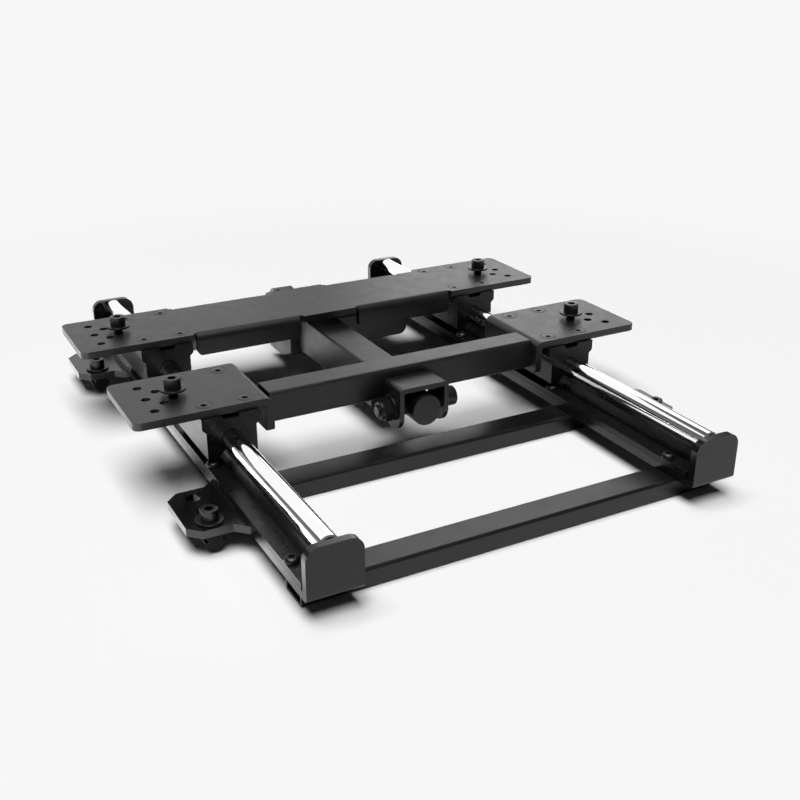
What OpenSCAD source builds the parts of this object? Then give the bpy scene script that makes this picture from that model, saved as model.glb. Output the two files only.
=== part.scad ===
// Motorised seat slide: two round-shaft rails on a welded base, and a seat carriage on four
// bearing blocks that a screw actuator pushes along Y. X is across, -Y is the front, Z is up.
// The origin is at the bottom centre of the base. All sizes are in millimetres.

/* [Rails] */
// Distance between the two shaft centrelines
rail_span = 308; // [290:1:340]
// Length of the base over the outside of its end plates
base_l = 530; // [510:1:600]
// Width of the rail trays and of the supports that lie on them
tray_w = 40; // [38:0.5:46]
// Thickness of the folded base and carriage sheet
sheet_t = 6; // [4:0.5:7]
// Outside radius of the carriage sheet's folds
fold_r = 6.5; // [5:0.5:9]
// Outside radius of the trays' folds at the end plates
tray_fold_r = 3.5; // [3:0.5:7]
// Height of the end plates above the underside of the trays
end_plate_h = 38.2; // [36:0.2:46]
// Radius of the top corners of the end plates
end_corner_r = 9.5; // [4:0.5:14]

/* [Ears] */
// How far an ear reaches out from the side of its tray
ear_reach = 39.5; // [34:0.5:46]
// Length of an ear along the rail, between its chamfers' inner ends
ear_l = 60; // [56:1:72]
// Size of the two outer corner chamfers of an ear
ear_chamfer = 9; // [4:0.5:14]
// Width of the 45 degree flare that joins an ear to its tray
ear_flare = 9; // [4:0.5:14]
// Distance of the ear holes from the outer edge of the ear
ear_hole_edge = 18; // [16:0.2:22]
// Distance between the two holes of an ear
ear_hole_pitch = 36; // [30:0.5:40]
// Diameter of the ear holes
ear_hole_d = 11; // [9:0.5:12]
// Middle of the front ears along the rail
ear_front_y = -131.5; // [-150:0.5:-125]
// Distance between the front and the rear ears
ear_spacing = 314.5; // [290:0.5:330]

/* [Cross tubes] */
// Width of the flat base tubes
cross_w = 25; // [20:0.5:32]
// Height of the flat base tubes
cross_h = 15; // [12:0.5:20]
// Wall of all square and flat tubes
tube_wall = 2; // [1.5:0.1:2.5]
// Outside corner radius of all square and flat tubes
tube_corner_r = 2.5; // [1.5:0.1:3]
// Distance of the end tubes from the outside of the end plates
cross_end_gap = 18.7; // [10:0.1:26]
// Distance from the tray's outer side to the open ends of the tubes
cross_inset = 4; // [1:0.5:8]
// Middle of the middle tube along the rail
cross_mid_y = -103.4; // [-150:0.2:-60]

/* [Shafts and supports] */
// Diameter of the guide shafts
shaft_d = 16; // [15:0.5:17]
// Height of the shaft centre above the underside of its support
shaft_rise = 25; // [24:0.5:30]
// Thickness of the support's flanges
flange_t = 5; // [4:0.5:6]
// Width of the support's web where it stands on the flanges
web_foot = 12.5; // [11:0.5:16]
// Width of the support's web under the shaft
web_neck = 9; // [6:0.5:9.5]
// Gap between a support and the end plates
support_gap = 2; // [1:0.5:4]
// Distance of the first rail screws from the front of the base
rail_row_front = 34; // [24:0.5:40]
// Distance of the last rail screws from the back of the base
rail_row_back = 46; // [24:0.5:60]
// Distance between rail screws across the rail
rail_screw_across = 30; // [28:0.5:31]
// Thread diameter of the domed rail screws
rail_screw_d = 6; // [5:0.5:6.5]

/* [Bearing blocks] */
// Width of a bearing block
block_w = 45; // [42:0.5:50]
// Length of a bearing block
block_l = 85; // [82:0.5:96]
// Height of a block's top face above the shaft centre
block_rise = 20; // [18:0.5:24]
// Depth of a block's underside below the shaft centre
block_drop = 13; // [11:0.5:14]
// Height of the full-width shoulder at the top of a block
shoulder_h = 8.5; // [6:0.5:11]
// How far a block's flanks lie in from its shoulder
flank_inset = 3; // [1:0.5:4]
// Width of the groove along a block's top
groove_w = 14; // [10:0.5:18]
// Depth of the groove along a block's top
groove_t = 3; // [1:0.5:4]
// Outside diameter of a ball bushing
bushing_d = 28; // [26:0.5:30]
// Length of a ball bushing
bushing_l = 37; // [33:0.5:38]
// Thickness of the rubber end seals
seal_t = 3; // [2:0.5:3.5]
// Angle of the slot under blocks and bushings
slot_angle = 80; // [74:1:88]
// Radial running clearance of bushings and of the rod guide
run_clear = 0.05; // [0.02:0.01:0.1]

/* [Carriage] */
// How far the carriage plates reach out past the sides of their blocks
plate_wing = 48.5; // [42:0.5:60]
// Radius of the outer corners of the carriage plates
plate_corner_r = 6; // [2:0.5:10]
// Depth of the carriage plates along the rail
plate_d = 80; // [74:0.5:84]
// Distance between the front and rear plate centres
carriage_pitch = 157; // [150:0.5:170]
// Middle of the carriage along the rail at rest
carriage_y = 35.5; // [30:0.5:37]
// Distance of a front bracket's inner face from the side of its block
bracket_room = 12.5; // [10:0.5:18]
// Height of a front bracket's folded flange, top to bottom
bracket_drop = 28; // [25:0.5:32]
// Height of the rear plate's folded flanges, top to bottom
flange_drop = 20; // [14:0.5:21]
// Gap in the rear plate's flanges around the actuator
flange_gap = 58.6; // [54:0.2:70]
// Distance of the rear plate's flanges from the sides of the blocks
flange_room = 5.5; // [4:0.5:12]
// Width of the relief notches at the flange ends
relief_w = 3; // [2:0.5:4]
// Size of the square front carriage tube
carriage_tube = 25; // [22:0.5:28]
// Distance of the carriage tube's front face from the front edge of its plates
carriage_tube_set = 8.25; // [6:0.25:12]
// Radius of small sheet corners
small_corner_r = 4; // [2:0.5:6]

/* [Screws and holes] */
// Distance between block screws across the rail
block_screw_across = 32; // [30:0.5:34]
// Distance between block screws along the rail
block_screw_along = 60; // [52:0.5:64]
// Head diameter of the countersunk block screws
flat_head_d = 13.4; // [11:0.2:14]
// Thread diameter of the countersunk block screws
block_screw_d = 6; // [5:0.5:6.5]
// Thread diameter of the hidden shaft screws
shaft_screw_d = 5; // [4:0.5:6]
// Distance of the seat screws from the side of the block beside them
seat_hole_in = 7.2; // [6.5:0.1:9]
// Distance between the seat hole columns
seat_hole_step = 10.5; // [10:0.1:11]
// Distance between neighbouring seat hole rows
seat_hole_row = 11.75; // [10:0.25:13]
// Diameter of the free tapped seat holes
seat_hole_d = 6.8; // [6:0.1:8]
// Thread diameter of the seat and ear screws
big_screw_d = 8; // [6:0.5:8.5]
// Head diameter of the seat and ear screws
big_head_d = 13; // [12:0.5:15]
// Outside diameter of the flat washers
washer_d = 20; // [16:0.5:22]
// Thickness of the flat washers
washer_t = 1.6; // [1:0.1:2.5]
// How far the seat screws' washers stand above the plates
seat_screw_lift = 4; // [1:0.5:8]
// How far the seat screws reach below the plates
seat_screw_reach = 12; // [4:0.5:16]

/* [Clevis and actuator] */
// Height of the two actuator pins
pin_h = 44.5; // [42:0.5:46]
// Diameter of the two actuator bolts
pin_d = 10; // [8:0.5:11]
// Outside width of the front clevis
clevis_w = 44; // [40:0.5:50]
// Depth of the front clevis in front of the carriage tube
clevis_d = 27.5; // [25:0.5:30]
// How far the middle of the cheeks' round ends lies below the pin
cheek_sag = 3.4; // [0:0.2:5]
// Thickness of the clevis and anchor sheet
clevis_t = 4; // [3:0.5:5]
// Height of the clevis top below the top of the carriage plates
clevis_top_drop = 7.5; // [6:0.5:9]
// Diameter of the rod end
rod_end_d = 25; // [22:0.5:27]
// Diameter of the actuator rod
rod_d = 20; // [16:0.5:20.5]
// Width of the actuator's outer profile
profile_w = 30; // [28:0.5:34]
// Height of the actuator's outer profile
profile_h = 36; // [34:0.5:38]
// Height of the profile's top above the actuator pins
profile_rise = 14.5; // [13.5:0.5:16]
// Gap between the carriage tube and the actuator's front cap at rest
cap_gap = 11.75; // [11:0.25:14]
// Thickness of the actuator's front cap
cap_t = 6; // [4:0.5:8]
// Front face of the gear housing along the rail
gear_front_y = 118.8; // [116:0.2:124]
// Depth of the gear housing along the rail
gear_d = 55; // [50:0.5:58]
// Width of the gear housing
gear_w = 44; // [40:0.5:50]
// Height of the underside of the gear housing
gear_floor = 10; // [6:0.5:14]
// Distance from the gear housing to the far end of the motor
motor_l = 82; // [70:0.5:90]
// Height of the underside of the motor
motor_floor = 19; // [14:0.5:22]
// Height of the top of the motor
motor_top = 48; // [44:0.5:50]
// Offset of the rear lug from the actuator's line, towards the motor
lug_x = 6.5; // [0:0.5:8]
// Width of the rear lug
lug_w = 12; // [10:0.5:14]
// Outer radius of the rear lug and of the anchor's ears
lug_r = 13; // [11:0.5:14]
// Distance from the gear housing's back to the rear pin
lug_reach = 31; // [28:0.5:34]
// Side clearance of the lug in its anchor
lug_gap = 0.25; // [0.1:0.05:0.5]

/* [Hidden] */
$fn = 64;
eps = 0.01;
cut = 1;

// Small fits and hardware proportions
seat_fit = 0.02;
thread_fit = 0.05;
rod_room = 1.5;
hole_room = 0.5;
ring_room = 0.4;
seal_room = 0.3;
hex_share = 0.5;
edge_break = 0.6;

// Heights of the stack, from the floor up
tray_z = cross_h;
tray_top = tray_z + sheet_t;
shaft_z = tray_top + shaft_rise;
plate_z = shaft_z + block_rise;
plate_top = plate_z + sheet_t;
flange_top = tray_top + flange_t;

// Places across and along the rails
rail_x = rail_span / 2;
tray_side = rail_x + tray_w / 2;
end_in = base_l / 2 - sheet_t;
support_l = 2 * (end_in - support_gap);
plate_y = [carriage_y - carriage_pitch / 2, carriage_y + carriage_pitch / 2];
ear_y = [ear_front_y, ear_front_y + ear_spacing];
ear_hole_x = tray_side + ear_reach - ear_hole_edge;
cross_end_y = base_l / 2 - cross_end_gap - cross_w / 2;
cross_l = 2 * (tray_side - cross_inset);
block_side = rail_x + block_w / 2;
block_inside = rail_x - block_w / 2;
bracket_gap = 2 * (block_inside - bracket_room);
flange_span = 2 * (block_inside - flange_room);
plate_end = block_side + plate_wing;
carriage_w = 2 * plate_end;
bracket_x = bracket_gap / 2;
seat_apex_x = block_side + seat_hole_in;
seat_x = seat_apex_x + 2 * seat_hole_step;
rail_rows = 4;
rail_screw_pitch = (base_l - rail_row_front - rail_row_back) / (rail_rows - 1);

// Front carriage tube, clevis and actuator line
tube_front_y = plate_y[0] - plate_d / 2 + carriage_tube_set;
tube_back_y = tube_front_y + carriage_tube;
front_pin_y = tube_front_y - clevis_d / 2;
clevis_in = clevis_w / 2 - clevis_t;
clevis_top = plate_top - clevis_top_drop;
rod_flat_x = rod_end_d / 2 - 0.5;
rod_end_reach = 17.5;
rod_end_front = front_pin_y - rod_end_reach;
cap_front_y = tube_back_y + cap_gap;
profile_front_y = cap_front_y + cap_t;
gear_back_y = gear_front_y + gear_d;
rear_pin_y = gear_back_y + lug_reach;
rod_bore_d = rod_d + 2;
rod_stop = 24;
rod_bore_stop = 6;
rod_back_y = gear_front_y - rod_stop;
rod_bore_end = gear_front_y - rod_bore_stop;
profile_z = pin_h + profile_rise - profile_h;
gear_room = 4;
gear_top = plate_z - gear_room;
gear_chamfer_h = 9;
gear_chamfer_l = 24;
anchor_in = lug_w / 2 + lug_gap;
anchor_out = anchor_in + clevis_t;
anchor_foot = 18;
anchor_set = 1;

// Hardware sizes that follow from their thread
big_head_h = big_screw_d;
pin_head_d = 1.6 * pin_d;
pin_head_h = pin_d;
pin_nut_af = 1.7 * pin_d;
pin_nut_h = pin_d;
pin_washer_d = 2 * pin_d;
pin_washer_t = 2;
pin_tail = 2;
button_d = 1.8 * rail_screw_d;
button_h = 0.62 * rail_screw_d;
tee_drop = 12;
tee_l = 20;
tee_neck_h = 5;
tee_neck_w = 10.5;
tee_top_w = 14;
tee_bottom_w = 6;
ear_tip_z = tray_z - tee_drop - 0.5;

// Finishes as the eye sees them
coat = [0.09, 0.09, 0.10];
anodised = [0.06, 0.06, 0.065];
bright = [0.82, 0.83, 0.85];
blackened = [0.05, 0.05, 0.05];
rubbery = [0.03, 0.03, 0.03];
moulded = [0.045, 0.045, 0.05];

// Shared shapes

// A cylinder from one X to another at a given Y and Z
module bar_x(d, x0, x1, y, z) {
    translate([x0, y, z]) rotate([0, 90, 0]) cylinder(d = d, h = x1 - x0);
}

// A cylinder from one Y to another at a given X and Z
module bar_y(d, y0, y1, x, z) {
    translate([x, y0, z]) rotate([-90, 0, 0]) cylinder(d = d, h = y1 - y0);
}

// A rectangle with its lowest corner given and all four corners rounded
module round_rect(size, r) {
    translate([r, 0]) square([size[0] - 2 * r, size[1]]);
    translate([0, r]) square([size[0], size[1] - 2 * r]);
    for (x = [r, size[0] - r], y = [r, size[1] - r]) translate([x, y]) circle(r = r);
}

// Turns a drawing of Y across and Z up into a body between two X values
module along_x(x0, x1) {
    translate([x0, 0, 0]) rotate([90, 0, 90]) linear_extrude(x1 - x0) children();
}

// Turns a drawing of X across and Z up into a body between two Y values
module along_y(y0, y1) {
    translate([0, y1, 0]) rotate([90, 0, 0]) linear_extrude(y1 - y0) children();
}

// A hollow tube with rounded corners, drawn from its lowest corner
module tube_section(w, h) {
    inner_r = max(tube_corner_r - tube_wall, 0.5);
    difference() {
        round_rect([w, h], tube_corner_r);
        translate([tube_wall, tube_wall])
            round_rect([w - 2 * tube_wall, h - 2 * tube_wall], inner_r);
    }
}

// Places its child at each corner of a rectangle on the given centre
module corners(centre, size) {
    for (sx = [-1, 1], sy = [-1, 1])
        translate([centre[0] + sx * size[0] / 2, centre[1] + sy * size[1] / 2, 0]) children();
}

// Places its child over each of the four bearing blocks
module at_blocks() {
    for (sx = [-1, 1], y = plate_y) translate([sx * rail_x, y, 0]) children();
}

// A hexagonal key socket that is sunk from z = 0 downwards
module key_socket(af, depth) {
    translate([0, 0, -depth]) cylinder(d = af / cos(30), h = depth + cut, $fn = 6);
}

// A cap screw with its seat at z = 0, its head above and its shank below
module cap_screw(d, head_d, head_h, reach) {
    difference() {
        union() {
            cylinder(d = head_d, h = head_h - edge_break);
            translate([0, 0, head_h - edge_break])
                cylinder(d1 = head_d, d2 = head_d - 2 * edge_break, h = edge_break);
            translate([0, 0, -reach]) cylinder(d = d, h = reach + eps);
        }
        translate([0, 0, head_h]) key_socket(0.75 * d, hex_share * head_h);
    }
}

// A flat ring that lies on z = 0
module ring(outer_d, inner_d, t) {
    difference() {
        cylinder(d = outer_d, h = t);
        translate([0, 0, -cut]) cylinder(d = inner_d, h = t + 2 * cut);
    }
}

// A chamfered hexagonal nut on z = 0 with its thread hole
module hex_nut(af, h, hole_d) {
    across = af / cos(30);
    difference() {
        intersection() {
            cylinder(d = across, h = h, $fn = 6);
            union() {
                cylinder(d1 = af, d2 = across + 2, h = h / 4);
                translate([0, 0, h / 4]) cylinder(d = across + 2, h = h / 2);
                translate([0, 0, 3 * h / 4]) cylinder(d1 = across + 2, d2 = af, h = h / 4);
            }
        }
        translate([0, 0, -cut]) cylinder(d = hole_d, h = h + 2 * cut);
    }
}

// Point where a line from outside touches a circle, on its left or right side
function touch_point(p, c, r, side) =
    let (d = norm(p - c), a = atan2(p[1] - c[1], p[0] - c[0]), b = acos(r / d))
    [c[0] + r * cos(a + side * b), c[1] + r * sin(a + side * b)];

// Base

// A folded tray with two end plates and two ears, for the rail on the side given
module rail_tray(side) {
    inner_r = max(tray_fold_r - sheet_t, 0.5);
    crown = 40;
    translate([side * rail_x, 0, 0]) difference() {
        union() {
            intersection() {
                along_x(-tray_w / 2, tray_w / 2) difference() {
                    translate([-base_l / 2, tray_z])
                        round_rect([base_l, end_plate_h + crown], tray_fold_r);
                    translate([-end_in, tray_top])
                        round_rect([2 * end_in, end_plate_h + 2 * crown], inner_r);
                    translate([-base_l, tray_z + end_plate_h]) square([2 * base_l, 3 * crown]);
                }
                along_y(-base_l / 2, base_l / 2) {
                    translate([-tray_w / 2, tray_z])
                        square([tray_w, end_plate_h - end_corner_r]);
                    translate([-tray_w / 2, tray_z + end_plate_h - 3 * end_corner_r])
                        round_rect([tray_w, 3 * end_corner_r], end_corner_r);
                }
            }
            for (y = ear_y) translate([0, y, tray_z]) ear_sheet(side);
        }
        for (y = ear_y, s = [-1, 1])
            translate([side * (ear_hole_x - rail_x), y + s * ear_hole_pitch / 2, tray_z - cut])
                cylinder(d = ear_hole_d, h = sheet_t + 2 * cut);
        rail_screw_places() translate([0, 0, tray_z - cut])
            cylinder(d = rail_screw_d + 2 * thread_fit, h = sheet_t + 2 * cut);
    }
}

// The flat outline of one ear, from inside the tray outwards
module ear_sheet(side) {
    root = tray_w / 2;
    tip = root + ear_reach;
    half = ear_l / 2;
    lap = 4;
    linear_extrude(sheet_t) polygon([for (p = [
        [root - lap, -half - ear_flare], [root, -half - ear_flare], [root + ear_flare, -half],
        [tip - ear_chamfer, -half], [tip, -half + ear_chamfer], [tip, half - ear_chamfer],
        [tip - ear_chamfer, half], [root + ear_flare, half], [root, half + ear_flare],
        [root - lap, half + ear_flare]]) [side * p[0], p[1]]]);
}

// Places its child at the rail screws of one rail
module rail_screw_places() {
    for (k = [0 : rail_rows - 1], s = [-1, 1])
        translate([s * rail_screw_across / 2, rail_row_front - base_l / 2 + k * rail_screw_pitch, 0])
            children();
}

// Places its child at the hidden screws that pull the shaft into its support
module shaft_screw_places() {
    for (k = [-1, 0, 1]) translate([0, k * rail_screw_pitch, 0]) children();
}

shaft_screw_seat = flange_t;
shaft_screw_bite = 6;
shaft_screw_grip = shaft_rise - shaft_screw_seat - shaft_d / 2 + shaft_screw_bite;

// An extruded support: two flanges and a waisted web that cradles the shaft
module rail_support(side) {
    waist = shaft_rise - shaft_d / 2 - 2.5;
    cradle = shaft_rise - sqrt(pow(shaft_d, 2) - pow(web_neck, 2)) / 2;
    foot_h = flange_t + 1.5;
    translate([side * rail_x, 0, tray_top]) difference() {
        along_y(-support_l / 2, support_l / 2) polygon([
            [-tray_w / 2, 0], [tray_w / 2, 0], [tray_w / 2, flange_t],
            [web_foot / 2, flange_t], [web_foot / 2, foot_h], [web_neck / 2, waist],
            [web_neck / 2, cradle], [-web_neck / 2, cradle], [-web_neck / 2, waist],
            [-web_foot / 2, foot_h], [-web_foot / 2, flange_t], [-tray_w / 2, flange_t]]);
        bar_y(shaft_d, -base_l, base_l, 0, shaft_rise);
        rail_screw_places() translate([0, 0, -cut])
            cylinder(d = rail_screw_d + hole_room, h = flange_t + 2 * cut);
        shaft_screw_places() {
            translate([0, 0, -cut])
                cylinder(d = 1.7 * shaft_screw_d + hole_room, h = shaft_screw_seat + cut);
            cylinder(d = shaft_screw_d + hole_room, h = shaft_rise);
        }
    }
}

// A ground guide shaft with broken ends and tapped holes underneath
module guide_shaft(side) {
    bevel = 1;
    half = support_l / 2;
    translate([side * rail_x, 0, shaft_z]) difference() {
        rotate([-90, 0, 0]) rotate_extrude() polygon([
            [0, -half], [shaft_d / 2 - bevel, -half], [shaft_d / 2, -half + bevel],
            [shaft_d / 2, half - bevel], [shaft_d / 2 - bevel, half], [0, half]]);
        shaft_screw_places() translate([0, 0, -shaft_d / 2 - cut])
            cylinder(d = shaft_screw_d + 2 * thread_fit, h = shaft_screw_bite + 1 + cut);
    }
}

// A flat base tube that runs across under both trays
module cross_tube(y) {
    along_x(-cross_l / 2, cross_l / 2) translate([y - cross_w / 2, 0])
        tube_section(cross_w, cross_h);
}

// Domed screws that hold the supports down, their tips flush under the trays
module rail_screws() {
    color(blackened) for (sx = [-1, 1]) translate([sx * rail_x, 0, flange_top])
        rail_screw_places() difference() {
            union() {
                cylinder(d = button_d, h = 0.4 * button_h);
                translate([0, 0, 0.4 * button_h])
                    cylinder(d1 = button_d, d2 = 0.62 * button_d, h = 0.6 * button_h);
                translate([0, 0, -flange_t - sheet_t])
                    cylinder(d = rail_screw_d, h = flange_t + sheet_t + eps);
            }
            translate([0, 0, button_h]) key_socket(0.67 * rail_screw_d, 0.6 * button_h);
        }
}

// Cap screws that pull each shaft down into its support from below
module shaft_screws() {
    color(blackened) for (sx = [-1, 1]) translate([sx * rail_x, 0, tray_top + shaft_screw_seat])
        shaft_screw_places() rotate([180, 0, 0])
            cap_screw(shaft_screw_d, 1.7 * shaft_screw_d, shaft_screw_seat, shaft_screw_grip);
}

// Places its child on the ear holes that hold a screw
module ear_screw_places() {
    for (sx = [-1, 1], y = ear_y)
        translate([sx * ear_hole_x, y - ear_hole_pitch / 2, 0]) children();
}

module ear_screws() {
    seat = tray_top + washer_t;
    color(blackened) ear_screw_places() translate([0, 0, seat])
        cap_screw(big_screw_d, big_head_d, big_head_h, seat - ear_tip_z);
}

module ear_washers() {
    color(blackened) ear_screw_places() translate([0, 0, tray_top])
        ring(washer_d, big_screw_d + ring_room, washer_t);
}

// Nuts for slotted profile that hang under the ears on their screws
module tee_nuts() {
    color(blackened) ear_screw_places() difference() {
        along_y(-tee_l / 2, tee_l / 2) translate([0, tray_z]) polygon([
            [-tee_neck_w / 2, 0], [-tee_neck_w / 2, -tee_neck_h], [-tee_top_w / 2, -tee_neck_h],
            [-tee_top_w / 2, -tee_neck_h - 2], [-tee_bottom_w / 2, -tee_drop],
            [tee_bottom_w / 2, -tee_drop], [tee_top_w / 2, -tee_neck_h - 2],
            [tee_top_w / 2, -tee_neck_h], [tee_neck_w / 2, -tee_neck_h], [tee_neck_w / 2, 0]]);
        cylinder(d = big_screw_d + 2 * thread_fit, h = tray_z + cut);
    }
}

// A folded bracket on the rear tube whose two ears hold the actuator's rear pin
module anchor_bracket() {
    base_z = cross_h;
    foot_w = 2 * (anchor_out + anchor_foot);
    foot_y = [cross_end_y - cross_w / 2 + anchor_set, cross_end_y + cross_w / 2 - anchor_set];
    heel = base_z + clevis_t;
    pin = [rear_pin_y, pin_h];
    front_touch = touch_point([foot_y[0], heel], pin, lug_r, -1);
    back_touch = touch_point([foot_y[1], heel], pin, lug_r, 1);
    color(coat) translate([lug_x, 0, 0]) difference() {
        union() {
            translate([-foot_w / 2, foot_y[0], base_z])
                cube([foot_w, foot_y[1] - foot_y[0], clevis_t]);
            for (x = [-anchor_out, anchor_in]) along_x(x, x + clevis_t) {
                polygon([[foot_y[0], base_z], [foot_y[1], base_z], [foot_y[1], heel],
                    back_touch, pin, front_touch, [foot_y[0], heel]]);
                translate(pin) circle(r = lug_r);
            }
        }
        bar_x(pin_d + 2 * thread_fit, -anchor_out - cut, anchor_out + cut, rear_pin_y, pin_h);
    }
}

// A pivot bolt along X with its head at the right and its tail past the nut at the left
module pivot_bolt(seat_x, nut_x, y) {
    translate([seat_x, y, pin_h]) rotate([0, 90, 0])
        cap_screw(pin_d, pin_head_d, pin_head_h, seat_x + nut_x + pin_nut_h + pin_tail);
}

// The nut of a pivot bolt, against its left seat
module pivot_nut(seat_x, y) {
    translate([-seat_x, y, pin_h]) rotate([0, -90, 0])
        hex_nut(pin_nut_af, pin_nut_h, pin_d + 2 * thread_fit);
}

module anchor_bolt() {
    color(blackened) translate([lug_x, 0, 0]) pivot_bolt(anchor_out, anchor_out, rear_pin_y);
}

module anchor_nut() {
    color(blackened) translate([lug_x, 0, 0]) pivot_nut(anchor_out, rear_pin_y);
}

// The actuator's extruded outer profile with a blind bore for the rod
module actuator_profile() {
    color(anodised) difference() {
        along_y(profile_front_y, gear_front_y) translate([-profile_w / 2, profile_z])
            round_rect([profile_w, profile_h], tube_corner_r);
        bar_y(rod_bore_d, profile_front_y - cut, rod_bore_end, 0, pin_h);
    }
}

// The cap that closes the profile's front and guides the rod
module actuator_cap() {
    color(moulded) difference() {
        along_y(cap_front_y, profile_front_y) translate([-profile_w / 2, profile_z])
            round_rect([profile_w, profile_h], tube_corner_r);
        bar_y(rod_d + 2 * run_clear, cap_front_y - cut, profile_front_y + cut, 0, pin_h);
    }
}

// Side view of the gear housing: a box with a long chamfer at its front foot
module gear_side() {
    polygon([[gear_front_y, gear_floor + gear_chamfer_h],
        [gear_front_y + gear_chamfer_l, gear_floor], [gear_back_y, gear_floor],
        [gear_back_y, gear_top], [gear_front_y, gear_top]]);
}

// The cast gear housing with its rear lug
module gear_housing() {
    corner = 6;
    color(moulded) difference() {
        union() {
            intersection() {
                along_x(-gear_w / 2, gear_w / 2) gear_side();
                along_y(gear_front_y, gear_back_y) translate([-gear_w / 2, 0]) {
                    square([gear_w, gear_top - corner]);
                    translate([0, gear_top - 4 * corner]) round_rect([gear_w, 4 * corner], corner);
                }
            }
            along_x(lug_x - lug_w / 2, lug_x + lug_w / 2) {
                translate([gear_back_y - eps, pin_h - lug_r])
                    square([lug_reach + eps, 2 * lug_r]);
                translate([rear_pin_y, pin_h]) circle(r = lug_r);
            }
        }
        bar_x(pin_d + 2 * thread_fit, -gear_w, gear_w, rear_pin_y, pin_h);
    }
}

// The motor housing, set across the rail beside the gears, with its lead socket behind
module motor_housing() {
    corner = 8;
    x0 = gear_w / 2;
    socket_d = 14;
    socket_l = 7;
    socket_x = x0 + motor_l / 2;
    socket_z = (motor_floor + motor_top) / 2;
    motor_h = motor_top - motor_floor;
    color(moulded) difference() {
        union() {
            along_y(gear_front_y, gear_back_y) translate([x0, motor_floor]) {
                square([motor_l - 2 * corner, motor_h]);
                translate([motor_l - 4 * corner, 0]) round_rect([4 * corner, motor_h], corner);
            }
            bar_y(socket_d, gear_back_y - eps, gear_back_y + socket_l, socket_x, socket_z);
        }
        bar_y(socket_d - 5, gear_back_y + 1, gear_back_y + socket_l + cut, socket_x, socket_z);
    }
}

// Carriage

// Holes of one plate end: five free seat holes, the screwed apex hole and four block screws
module plate_holes(side, y) {
    for (row = [-2, 0, 2]) seat_hole(side * seat_x, y + row * seat_hole_row, seat_hole_d);
    for (row = [-1, 1])
        seat_hole(side * (seat_x - seat_hole_step), y + row * seat_hole_row, seat_hole_d);
    seat_hole(side * seat_apex_x, y, big_screw_d + 2 * thread_fit);
    corners([side * rail_x, y], [block_screw_across, block_screw_along]) {
        translate([0, 0, plate_z - cut])
            cylinder(d = block_screw_d + 2 * thread_fit, h = sheet_t + 2 * cut);
        translate([0, 0, plate_top]) flat_cone(seat_fit);
    }
}

// A plain hole through a carriage plate
module seat_hole(x, y, d) {
    translate([x, y, plate_z - cut]) cylinder(d = d, h = sheet_t + 2 * cut);
}

// The cone of a countersunk head, hanging from z = 0, widened by a clearance
module flat_cone(room) {
    cone_h = (flat_head_d - block_screw_d) / 2;
    translate([0, 0, -cone_h])
        cylinder(d1 = block_screw_d + 2 * room, d2 = flat_head_d + 2 * room, h = cone_h + eps);
}

// Side view of a sheet that is folded down, with a round fold at its top outer corner
module folded_edge(reach, drop) {
    inner_r = max(fold_r - sheet_t, 0.5);
    difference() {
        translate([-reach, 0]) square([reach, drop]);
        translate([-fold_r, drop - fold_r]) difference() {
            square(fold_r + cut);
            circle(r = fold_r);
        }
        translate([-reach - cut, -cut]) square([reach - sheet_t - inner_r + cut, drop - sheet_t + cut]);
        translate([-sheet_t - 2 * inner_r, -cut]) square([2 * inner_r, drop - sheet_t - inner_r + cut]);
        translate([-sheet_t - inner_r, drop - sheet_t - inner_r]) circle(r = inner_r);
    }
}

// The rear plate: one sheet over both rails, folded down at front and back beside the actuator
module rear_plate() {
    y = plate_y[1];
    flange_l = (flange_span - flange_gap) / 2;
    reach = 2 * fold_r;
    flange_z = plate_top - flange_drop;
    color(coat) difference() {
        union() {
            translate([-plate_end, y - plate_d / 2, plate_z])
                linear_extrude(sheet_t) round_rect([carriage_w, plate_d], plate_corner_r);
            for (s = [-1, 1], e = [-1, 1]) translate([s * (flange_gap + flange_l) / 2, y, 0])
                rear_flange(e, flange_l, reach, flange_z);
        }
        for (s = [-1, 1], e = [-1, 1]) translate([s * (flange_gap + flange_l) / 2, y, 0]) {
            translate([-flange_l / 2, e * plate_d / 2, 0]) fold_round_off(e, flange_l);
            for (w = [-1, 1])
                translate([w * (flange_l + relief_w) / 2, e * (plate_d / 2 - relief_w / 2), 0])
                    translate([-relief_w / 2, -relief_w / 2 - cut / 2 + e * cut / 2, plate_z - cut])
                    cube([relief_w, relief_w + cut, sheet_t + 2 * cut]);
        }
        for (s = [-1, 1]) plate_holes(s, y);
    }
}

// One folded flange of the rear plate with round lower corners
module rear_flange(e, flange_l, reach, flange_z) {
    intersection() {
        along_x(-flange_l / 2, flange_l / 2) translate([e * plate_d / 2, flange_z])
            mirror([e < 0 ? 1 : 0, 0]) folded_edge(reach, flange_drop);
        along_y(-plate_d, plate_d) translate([-flange_l / 2, flange_z]) {
            round_rect([flange_l, 3 * small_corner_r], small_corner_r);
            translate([0, small_corner_r]) square([flange_l, flange_drop - small_corner_r]);
        }
    }
}

// What a round fold takes off the square top edge of a plate, along a flange
module fold_round_off(e, flange_l) {
    translate([0, 0, plate_top - fold_r]) along_x(0, flange_l) mirror([e < 0 ? 1 : 0, 0])
        translate([-fold_r, 0]) difference() {
            square(fold_r + cut);
            circle(r = fold_r);
        }
}

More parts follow.
